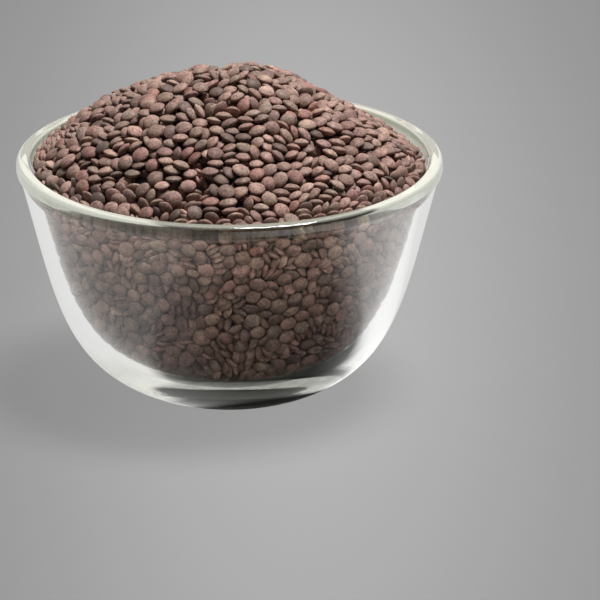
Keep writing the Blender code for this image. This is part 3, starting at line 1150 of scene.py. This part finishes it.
def add_key(power):
    """The large lamp above, which glass mirrors but which doesn't show through it."""
    lamp = bpy.data.lights.new("key softbox", "AREA")
    lamp.shape = "RECTANGLE"
    lamp.size, lamp.size_y = KEY_SIZE
    lamp.energy = power
    holder = add_object("key softbox", lamp)
    holder.location = KEY_PLACE
    holder.rotation_euler = (KEY_AIM - KEY_PLACE).to_track_quat("-Z", "Y").to_euler()
    holder.visible_transmission = False


def background(tree, strength, colour):
    node = tree.nodes.new("ShaderNodeBackground")
    node.inputs["Strength"].default_value = strength
    tree.links.new(colour, node.inputs["Color"])
    return node.outputs["Background"]


def light_room(settings):
    """The wall that the camera sees, the room that glass sees, and the soft light on the rest."""
    world = bpy.data.worlds.new("studio")
    bpy.context.scene.world = world
    world.use_nodes = True
    tree = world.node_tree
    wall = tree.nodes["Background"]
    wall.inputs["Color"].default_value = (*WALL_GREY, 1.0)
    sky = tree.nodes.new("ShaderNodeTexCoord").outputs["Generated"]
    room_shades = ramp(tree, height_of(tree, sky), ROOM_SHADES)
    room = background(tree, settings.room_light, room_shades)
    inner_shades = ramp(tree, along(tree, sky, INNER_SIDE), INNER_SHADES)
    inner = background(tree, settings.inner_light, inner_shades)
    dim_side = ranged(tree, along(tree, sky, DIM_SIDE), *DIM_SIDE_EDGE)
    white = background(tree, settings.glass_light, ramp(tree, dim_side, DIM_SIDE_COLOURS))
    lighting = mixed_shader(tree, by_glass(tree), room, inner)
    lit = mixed_shader(tree, seen_in_glass(tree), lighting, white)
    surface = mixed_shader(tree, ray(tree, "Is Camera Ray"), lit, wall.outputs["Background"])
    tree.links.new(surface, tree.nodes["World Output"].inputs["Surface"])


def add_camera():
    camera = bpy.data.cameras.new("camera")
    camera.lens = CAMERA_LENS
    camera.sensor_width = CAMERA_SENSOR
    holder = add_object("camera", camera)
    away = Vector((0.0, -math.cos(CAMERA_ELEVATION), math.sin(CAMERA_ELEVATION)))
    holder.location = CAMERA_AIM + CAMERA_DISTANCE * away
    holder.rotation_euler = (math.pi / 2 - CAMERA_ELEVATION, 0.0, 0.0)
    bpy.context.scene.camera = holder


class LENTIL_OT_stage(bpy.types.Operator):
    """Lay the pale floor and set up the soft light and the camera"""

    bl_idname = "lentil_bowl.stage"
    bl_label = "Set Up Stage"

    def execute(self, context):
        settings = context.scene.lentil_stage
        bm = bmesh.new()
        bmesh.ops.create_circle(bm, cap_ends=True, radius=FLOOR_RADIUS, segments=FLOOR_SIDES)
        floor = add_piece("floor", bm)
        floor.data.materials.append(floor_material(settings))
        floor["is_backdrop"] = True
        light_room(settings)
        add_key(settings.key_power)
        add_camera()
        context.scene.view_settings.view_transform = "Standard"
        return {"FINISHED"}


class LENTIL_PT_panel(bpy.types.Panel):
    bl_idname = "LENTIL_PT_panel"
    bl_label = "Lentil Bowl"
    bl_space_type = "VIEW_3D"
    bl_region_type = "UI"
    bl_category = "Lentil Bowl"

    def draw(self, context):
        for group, made in SETTINGS:
            box = self.layout.box()
            for name in made.__annotations__:
                box.prop(getattr(context.scene, group), name)
        for operator in OPERATORS:
            self.layout.operator(operator.bl_idname)


SETTINGS = (
    ("lentil_glass", GlassSettings),
    ("lentil_grains", LentilSettings),
    ("lentil_stage", StageSettings),
)
OPERATORS = (LENTIL_OT_glass, LENTIL_OT_core, LENTIL_OT_lentils, LENTIL_OT_stage)


def register():
    for name, group in SETTINGS:
        bpy.utils.register_class(group)
        setattr(bpy.types.Scene, name, bpy.props.PointerProperty(type=group))
    for made in (*OPERATORS, LENTIL_PT_panel):
        bpy.utils.register_class(made)


def unregister():
    for made in (LENTIL_PT_panel, *reversed(OPERATORS)):
        bpy.utils.unregister_class(made)
    for name, group in reversed(SETTINGS):
        delattr(bpy.types.Scene, name)
        bpy.utils.unregister_class(group)


def main():
    register()
    cad_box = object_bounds()
    bpy.ops.lentil_bowl.glass()
    bpy.ops.lentil_bowl.core()
    bpy.ops.lentil_bowl.lentils()
    bpy.ops.lentil_bowl.stage()
    bpy.context.view_layer.update()
    boxes = {"cad": cad_box, "visual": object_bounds()}
    {name: [list(corner) for corner in box] for name, box in boxes.items()}


if __name__ == "__main__":
    main()
